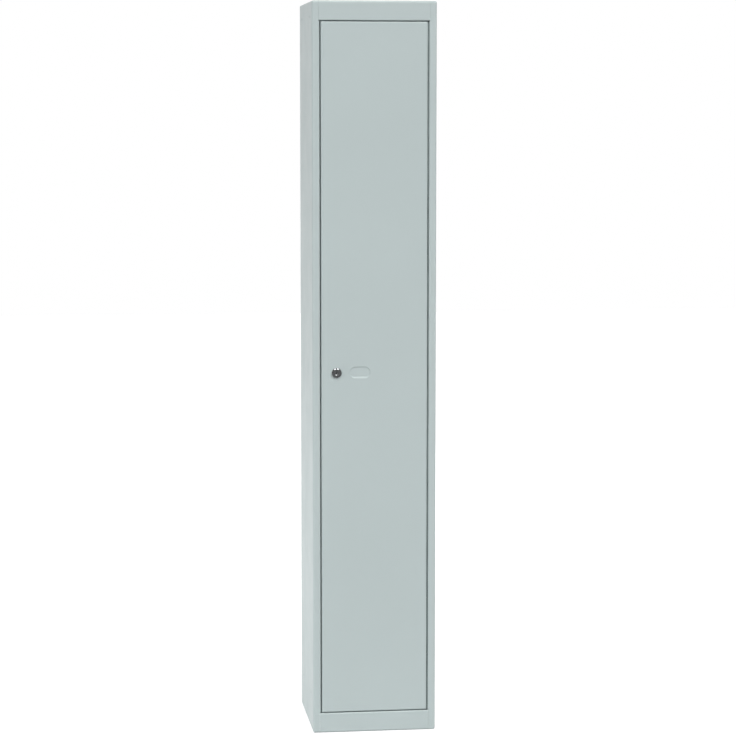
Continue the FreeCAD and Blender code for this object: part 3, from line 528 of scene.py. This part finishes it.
def finish_of(name):
    """The material of a finish, made on first use."""
    if name not in materials:
        materials[name] = FINISHES[name](bpy.context.scene.locker_finish)
    return materials[name]


def finish_nodes(nodes, finish):
    """Give nodes of the construction model their finish."""
    for node in nodes:
        frame["nodes"][node].material_slots[0].material = finish_of(finish)


# Modelling

def body_of(node):
    """Name of the body that a node of the construction model rides on."""
    return frame["nodes"][node]["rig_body"]


def add_piece(name, shape, slot, body):
    """Turn a bmesh into a piece that rides on a body."""
    mesh = bpy.data.meshes.new(name)
    shape.to_mesh(mesh)
    shape.free()
    mesh.materials.append(finish_of(slot))
    mesh.shade_smooth()
    mesh.set_sharp_from_angle(angle=SHARP)
    piece = bpy.data.objects.new(name, mesh)
    bpy.context.scene.collection.objects.link(piece)
    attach(piece, body)
    return piece


def add_stand_in(name, shape, slot, node):
    """Turn a bmesh into a piece that stands for a node of the construction model."""
    piece = add_piece(name, shape, slot, body_of(node))
    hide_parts(node)
    return piece


def add_eased(name, node, slot, size, segments=2):
    """Stand in for a node with a welded copy of it whose sharp edges are rounded."""
    shape = bmesh.new()
    shape.from_mesh(frame["nodes"][node].data)
    bmesh.ops.remove_doubles(shape, verts=shape.verts, dist=SAME_POINT)
    bmesh.ops.dissolve_limit(
        shape, angle_limit=FLAT, verts=shape.verts, edges=shape.edges,
        use_dissolve_boundaries=False, delimit=set(),
    )
    piece = add_stand_in(name, shape, slot, node)
    easing = piece.modifiers.new("eased_edges", "BEVEL")
    easing.width = size
    easing.segments = segments
    easing.limit_method = "ANGLE"
    easing.angle_limit = SHARP
    easing.harden_normals = True
    merging = piece.modifiers.new("merged_points", "WELD")
    merging.merge_threshold = SAME_POINT


def even_row(low, high, count):
    """A count of evenly spaced places from one end to the other."""
    return [low + (high - low) * number / (count - 1) for number in range(count)]


def turn_profile(shape, place, axis, profile, steps):
    """Turn a profile of (radius, distance along the axis) about an axis through a place."""
    side = axis.orthogonal().normalized()
    before = set(shape.verts)
    points = [shape.verts.new(place + side * radius + axis * along) for radius, along in profile]
    lines = [shape.edges.new(pair) for pair in zip(points, points[1:])]
    bmesh.ops.spin(
        shape, geom=points + lines, cent=place, axis=axis, dvec=(0.0, 0.0, 0.0),
        angle=math.tau, steps=steps, use_merge=True, use_duplicate=False,
    )
    turned = [vertex for vertex in shape.verts if vertex not in before]
    bmesh.ops.remove_doubles(shape, verts=turned, dist=SAME_POINT)


def round_ring(shape, place, axis, radius, along, size, segments):
    """Round the turned edge at the given radius and distance along the axis."""

    def is_on_ring(vertex):
        offset = vertex.co - place
        height = offset.dot(axis)
        reach = (offset - axis * height).length
        return abs(height - along) < SAME_POINT and abs(reach - radius) < SAME_POINT

    ring = [edge for edge in shape.edges if all(is_on_ring(vertex) for vertex in edge.verts)]
    bmesh.ops.bevel(
        shape, geom=ring, offset=size, offset_type="OFFSET", segments=segments, profile=0.5,
        affect="EDGES", clamp_overlap=True, material=-1,
    )


def thread_profile(sizes, start, end):
    """Crests and roots of a thread between two distances along the axis."""
    root = sizes.thread_radius - sizes.thread_depth
    turns = int((end - start) / sizes.thread_pitch)
    points = [(sizes.thread_radius, start)]
    for turn in range(turns):
        crest = start + turn * sizes.thread_pitch
        points.append((root, crest + sizes.thread_pitch / 2))
        points.append((sizes.thread_radius, crest + sizes.thread_pitch))
    return points


def make_lock_rim(sizes):
    """Sloping rim in front of the door and threaded body behind it, bored for the plug."""
    place = joint_place("lock_turn")
    low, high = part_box("lock_housing")
    head_low, head_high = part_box("lock_plug")
    rim = (high.x - low.x) / 2
    seat = (head_high.x - head_low.x) / 2 + sizes.seat_play
    front = low.y - place.y
    back = high.y - place.y
    shoulder = front + sizes.seat_depth
    profile = [
        (sizes.bore_radius, shoulder),
        (seat, shoulder),
        (seat, front),
        (rim - sizes.crown_width, front),
        (rim, front + sizes.crown_drop),
        (rim, 0.0),
        (sizes.thread_radius, 0.0),
        *thread_profile(sizes, sizes.thread_start, back),
        (sizes.thread_radius, back),
        (sizes.bore_radius, back),
        (sizes.bore_radius, shoulder),
    ]
    shape = bmesh.new()
    turn_profile(shape, place, BACK, profile, steps=LOCK_STEPS)
    round_ring(shape, place, BACK, rim, front + sizes.crown_drop, sizes.crown_round, segments=4)
    round_ring(shape, place, BACK, rim - sizes.crown_width, front, sizes.crown_round, segments=4)
    round_ring(shape, place, BACK, seat, front, sizes.seat_round, segments=2)
    bmesh.ops.recalc_face_normals(shape, faces=shape.faces)
    add_stand_in("lock_rim", shape, "lock_chrome", "lock_housing")


def make_key_wafers(sizes):
    """Thin plates that stand in the key slot, by turns from above and from below."""
    axis = joint_place("lock_turn")
    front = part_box("lock_plug")[0].y
    size = Vector((sizes.slot_width - 2 * sizes.wafer_play, sizes.wafer_sheet, sizes.wafer_height))
    reach = sizes.slot_height / 2 - sizes.wafer_play - sizes.wafer_height / 2
    shape = bmesh.new()
    for number in range(sizes.wafer_count):
        depth = front + sizes.wafer_start + number * sizes.wafer_pitch
        height = axis.z + (reach if number % 2 == 0 else -reach)
        place = Matrix.Translation((axis.x, depth, height)) @ Matrix.Diagonal((*size, 1.0))
        bmesh.ops.create_cube(shape, size=1.0, matrix=place)
    bmesh.ops.bevel(
        shape, geom=shape.edges, offset=sizes.wafer_round, offset_type="OFFSET", segments=2,
        profile=0.5, affect="EDGES", clamp_overlap=True, material=-1,
    )
    wafers = add_piece("key_wafers", shape, "hinge_steel", body_of("lock_plug"))
    wafers.data.materials[0] = finish_of("pin_steel")


def make_rivets(sizes):
    """Rivets of the double hook, with a domed head at each end."""
    low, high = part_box("hook_rivets")
    head, tall = sizes.rivet_head, high.z - low.z
    profile = [
        (0.0, 0.0),
        (head, 0.0),
        (head, sizes.rivet_height),
        (sizes.rivet_shank, sizes.rivet_height),
        (sizes.rivet_shank, tall - sizes.rivet_height),
        (head, tall - sizes.rivet_height),
        (head, tall),
        (0.0, tall),
    ]
    shape = bmesh.new()
    for x in (low.x + head, high.x - head):
        place = Vector((x, (low.y + high.y) / 2, low.z))
        turn_profile(shape, place, UP, profile, steps=BUTTON_STEPS)
        for along in (0.0, tall):
            round_ring(shape, place, UP, head, along, sizes.rivet_dome, segments=6)
    bmesh.ops.recalc_face_normals(shape, faces=shape.faces)
    add_stand_in("domed_rivets", shape, "zinc_plate", "hook_rivets")


def make_buffers(sizes):
    """Rubber buttons in a row on the stop flange, with a rounded front edge."""
    low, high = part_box("door_buffers")
    radius, tall = (high.x - low.x) / 2, high.y - low.y
    profile = [(0.0, 0.0), (radius, 0.0), (radius, tall), (0.0, tall)]
    shape = bmesh.new()
    for z in even_row(low.z + radius, high.z - radius, sizes.buffer_count):
        place = Vector((low.x + radius, high.y, z))
        turn_profile(shape, place, FRONT, profile, steps=BUTTON_STEPS)
        round_ring(shape, place, FRONT, radius, tall, sizes.buffer_round, segments=5)
    bmesh.ops.recalc_face_normals(shape, faces=shape.faces)
    add_stand_in("rubber_buffers", shape, "black_rubber", "door_buffers")


def add_weld(shape, sizes, place, facing):
    """Mark of a spot weld: a low ring round a shallow dish."""
    radius, height = sizes.weld_radius, sizes.weld_height
    profile = [
        (0.0, -height),
        (radius, -height),
        (radius, 0.0),
        (RIM_PLACE * radius, height),
        (DISH_PLACE * radius, DISH_EDGE * height),
        (0.0, DISH_MIDDLE * height),
    ]
    turn_profile(shape, place, facing, profile, steps=WELD_STEPS)


def weld_row(sizes, low, high):
    """Evenly spaced places between two ends, about a weld pitch apart."""
    return even_row(low, high, max(2, round((high - low) / sizes.weld_pitch) + 1))


def make_back_welds(sizes, shape):
    """Welds down both edges of the back panel."""
    low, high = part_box("back_panel")
    for x in (low.x + sizes.weld_inset, high.x - sizes.weld_inset):
        for z in weld_row(sizes, low.z + sizes.weld_pitch, high.z - sizes.weld_pitch):
            add_weld(shape, sizes, Vector((x, low.y, z)), FRONT)


def make_runner_welds(sizes, shape):
    """Welds along the upright legs of the shelf runners."""
    for node, facing in (("shelf_runner_left", RIGHT), ("shelf_runner_right", LEFT)):
        low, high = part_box(node)
        x = low.x + sizes.sheet if facing is RIGHT else high.x - sizes.sheet
        end = 2 * sizes.weld_inset
        for y in weld_row(sizes, low.y + end, high.y - end):
            add_weld(shape, sizes, Vector((x, y, low.z + sizes.weld_inset)), facing)


def make_stiffener_welds(sizes, shape):
    """Welds along both flanges of the door's stiffener."""
    low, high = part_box("door_stiffener")
    end = 2 * sizes.weld_inset
    for x in (low.x + sizes.weld_inset, high.x - sizes.weld_inset):
        for z in weld_row(sizes, low.z + end, high.z - end):
            add_weld(shape, sizes, Vector((x, low.y + sizes.sheet, z)), BACK)


def add_welds(name, shape, node):
    """Make a piece of the weld marks on the body of a node."""
    bmesh.ops.recalc_face_normals(shape, faces=shape.faces)
    add_piece(name, shape, "grey_paint", body_of(node))


class LOCKER_OT_sheets(bpy.types.Operator):
    """Paint the folded sheets of the carcass, the shelf and the door"""

    bl_idname = "locker.sheets"
    bl_label = "Painted sheets"

    def execute(self, context):
        finish_nodes(SHEETS, "grey_paint")
        return {"FINISHED"}


class LOCKER_OT_welds(bpy.types.Operator):
    """Mark the spot welds on the inner faces of the sheets"""

    bl_idname = "locker.welds"
    bl_label = "Spot welds"

    def execute(self, context):
        sizes = context.scene.locker_sizes
        carcass = bmesh.new()
        make_back_welds(sizes, carcass)
        make_runner_welds(sizes, carcass)
        add_welds("carcass_welds", carcass, "back_panel")
        door = bmesh.new()
        make_stiffener_welds(sizes, door)
        add_welds("door_welds", door, "door_stiffener")
        return {"FINISHED"}


class LOCKER_OT_hinge(bpy.types.Operator):
    """Finish the hinge's leaves and pin"""

    bl_idname = "locker.hinge"
    bl_label = "Hinge"

    def execute(self, context):
        finish_nodes(HINGE_LEAVES, "hinge_steel")
        finish_nodes(("hinge_pin",), "pin_steel")
        return {"FINISHED"}


class LOCKER_OT_coat_hooks(bpy.types.Operator):
    """Round the edges of the coat hooks and turn their rivets"""

    bl_idname = "locker.coat_hooks"
    bl_label = "Coat hooks"

    def execute(self, context):
        sizes = context.scene.locker_sizes
        for name, node in HOOK_STRAPS.items():
            add_eased(name, node, "zinc_plate", sizes.strap_round, segments=3)
        make_rivets(sizes)
        return {"FINISHED"}


class LOCKER_OT_buffers(bpy.types.Operator):
    """Turn the rubber door buffers"""

    bl_idname = "locker.buffers"
    bl_label = "Door buffers"

    def execute(self, context):
        make_buffers(context.scene.locker_sizes)
        return {"FINISHED"}


class LOCKER_OT_lock(bpy.types.Operator):
    """Model the lock's rim, plug and fixings"""

    bl_idname = "locker.lock"
    bl_label = "Lock"

    def execute(self, context):
        sizes = context.scene.locker_sizes
        make_lock_rim(sizes)
        add_eased("key_plug", "lock_plug", "lock_chrome", sizes.fixing_round)
        make_key_wafers(sizes)
        for name, node in LOCK_FIXINGS.items():
            add_eased(name, node, "zinc_plate", sizes.fixing_round)
        return {"FINISHED"}


# Stage

def aim_at(thing, target):
    """Turn a camera or lamp to look at a point."""
    thing.rotation_euler = (Vector(target) - thing.location).to_track_quat("-Z", "Y").to_euler()


def add_lamp(name, light, place, target):
    """Put a light in the scene, turned to a point and hidden from the camera itself."""
    lamp = bpy.data.objects.new(name, light)
    lamp.location = place
    aim_at(lamp, target)
    lamp.visible_camera = False
    bpy.context.scene.collection.objects.link(lamp)
    return lamp


def add_softbox(name, place, target, width, height, power):
    """Rectangular lamp that looks at a point and leaves reflections to the white background."""
    light = bpy.data.lights.new(name, "AREA")
    light.shape = "RECTANGLE"
    light.size = width
    light.size_y = height
    light.energy = power
    add_lamp(name, light, place, target).visible_glossy = False


def add_key(name, place, target, strength, angle):
    """Broad distant lamp that shines from a place towards a point."""
    light = bpy.data.lights.new(name, "SUN")
    light.energy = strength
    light.angle = angle
    return add_lamp(name, light, place, target)


def add_glint(name, place, target, strength, angle):
    """Broad distant lamp that shows only in reflections."""
    add_key(name, place, target, strength, angle).visible_diffuse = False


def seen_share(tree):
    """1 for rays that show the stage to the camera, in a reflection or through glass, else 0."""
    path = add_node(tree, "ShaderNodeLightPath")
    share = path.outputs["Is Camera Ray"]
    for kind in ("Is Glossy Ray", "Is Transmission Ray"):
        either = add_node(tree, "ShaderNodeMath", {"operation": "MAXIMUM"})
        tree.links.new(share, either.inputs[0])
        tree.links.new(path.outputs[kind], either.inputs[1])
        share = either.outputs[0]
    return share


def make_world(stage):
    """Even white light, which shows at full white behind the locker."""
    world = bpy.data.worlds.new("studio")
    bpy.context.scene.world = world
    world.use_nodes = True
    tree = world.node_tree
    background = tree.nodes["Background"]
    strength = add_node(tree, "ShaderNodeMapRange", Value=seen_share(tree), To_Min=stage.ambient)
    tree.links.new(strength.outputs["Result"], background.inputs["Strength"])
    background.inputs["Color"].default_value = WHITE


def make_floor(stage):
    """Pale floor that shows white and keeps the locker's shadow."""
    material, tree, shader = new_material("studio_floor")
    mottle = place_noise(tree, FLOOR_MOTTLE)
    tone = shaded(tree, mottle, stage.floor_colour, FLOOR_SHADES)
    tree.links.new(tone, shader.inputs["Base Color"])
    shader.inputs["Roughness"].default_value = FLOOR_ROUGHNESS
    shader.inputs["Specular IOR Level"].default_value = FLOOR_SPECULAR
    shader.inputs["Emission Color"].default_value = WHITE
    glow = add_node(tree, "ShaderNodeMapRange", Value=seen_share(tree), To_Max=stage.floor_glow)
    tree.links.new(glow.outputs["Result"], shader.inputs["Emission Strength"])
    shape = bmesh.new()
    bmesh.ops.create_grid(shape, x_segments=1, y_segments=1, size=stage.floor_side / 2)
    mesh = bpy.data.meshes.new("studio_floor")
    shape.to_mesh(mesh)
    shape.free()
    mesh.materials.append(material)
    floor = bpy.data.objects.new("studio_floor", mesh)
    bpy.context.scene.collection.objects.link(floor)


def make_camera(stage):
    """Camera at the photograph's viewing angle."""
    data = bpy.data.cameras.new("camera")
    data.lens = stage.camera_lens
    camera = bpy.data.objects.new("camera", data)
    camera.location = stage.camera_place
    aim_at(camera, stage.camera_aim)
    bpy.context.scene.collection.objects.link(camera)
    bpy.context.scene.camera = camera


def make_keys(stage):
    """Broad lights from above on both sides, with their glints, and a fill beside the camera."""
    right, left, aim = stage.right_place, stage.left_place, stage.lamp_aim
    add_key("right_key", right, aim, stage.right_key, stage.right_spread)
    add_key("left_key", left, aim, stage.left_key, stage.left_spread)
    add_glint("right_glint", right, aim, stage.right_glint, stage.right_spread)
    add_glint("left_glint", left, aim, stage.left_glint, stage.left_spread)
    add_key("front_fill", stage.front_place, aim, stage.front_fill, stage.front_spread)


def make_softboxes(stage):
    """Softboxes on the left, on the right and behind, and a strip lamp near the floor."""
    width, height, aim = stage.box_width, stage.box_height, stage.lamp_aim
    add_softbox("left_fill", stage.left_box, aim, width, height, stage.left_power)
    add_softbox("right_fill", stage.right_box, aim, width, height, stage.right_power)
    add_softbox("back_fill", stage.back_box, aim, width, height, stage.back_power)
    add_softbox(
        "low_fill", stage.low_box, stage.low_aim, stage.strip_width, stage.strip_height, stage.low_power
    )


class LOCKER_OT_stage(bpy.types.Operator):
    """Set up the floor, the lamps and the camera"""

    bl_idname = "locker.stage"
    bl_label = "Stage"

    def execute(self, context):
        stage = context.scene.locker_stage
        context.scene.view_settings.view_transform = "Standard"
        make_world(stage)
        make_floor(stage)
        make_camera(stage)
        make_keys(stage)
        make_softboxes(stage)
        return {"FINISHED"}


class LOCKER_PT_panel(bpy.types.Panel):
    """Finishes, sizes and steps of the locker"""

    bl_idname = "LOCKER_PT_panel"
    bl_label = "Clothing locker"
    bl_space_type = "VIEW_3D"
    bl_region_type = "UI"
    bl_category = "Locker"

    def draw(self, context):
        scene = context.scene
        for group in (scene.locker_finish, scene.locker_sizes, scene.locker_stage):
            box = self.layout.box()
            for name in group.__annotations__:
                box.prop(group, name)
        for operator in OPERATORS:
            self.layout.operator(operator.bl_idname)


GROUPS = (LockerFinish, LockerSizes, LockerStage)
OPERATORS = (
    LOCKER_OT_sheets, LOCKER_OT_welds, LOCKER_OT_hinge, LOCKER_OT_coat_hooks, LOCKER_OT_buffers,
    LOCKER_OT_lock, LOCKER_OT_stage,
)
CLASSES = (*GROUPS, *OPERATORS, LOCKER_PT_panel)


def register():
    for cls in CLASSES:
        bpy.utils.register_class(cls)
    bpy.types.Scene.locker_finish = bpy.props.PointerProperty(type=LockerFinish)
    bpy.types.Scene.locker_sizes = bpy.props.PointerProperty(type=LockerSizes)
    bpy.types.Scene.locker_stage = bpy.props.PointerProperty(type=LockerStage)


def unregister():
    del bpy.types.Scene.locker_stage
    del bpy.types.Scene.locker_sizes
    del bpy.types.Scene.locker_finish
    for cls in reversed(CLASSES):
        bpy.utils.unregister_class(cls)


def main():
    register()
    bpy.ops.locker.sheets()
    bpy.ops.locker.welds()
    bpy.ops.locker.hinge()
    bpy.ops.locker.coat_hooks()
    bpy.ops.locker.buffers()
    bpy.ops.locker.lock()
    bpy.ops.locker.stage()


if __name__ == "__main__":
    main()
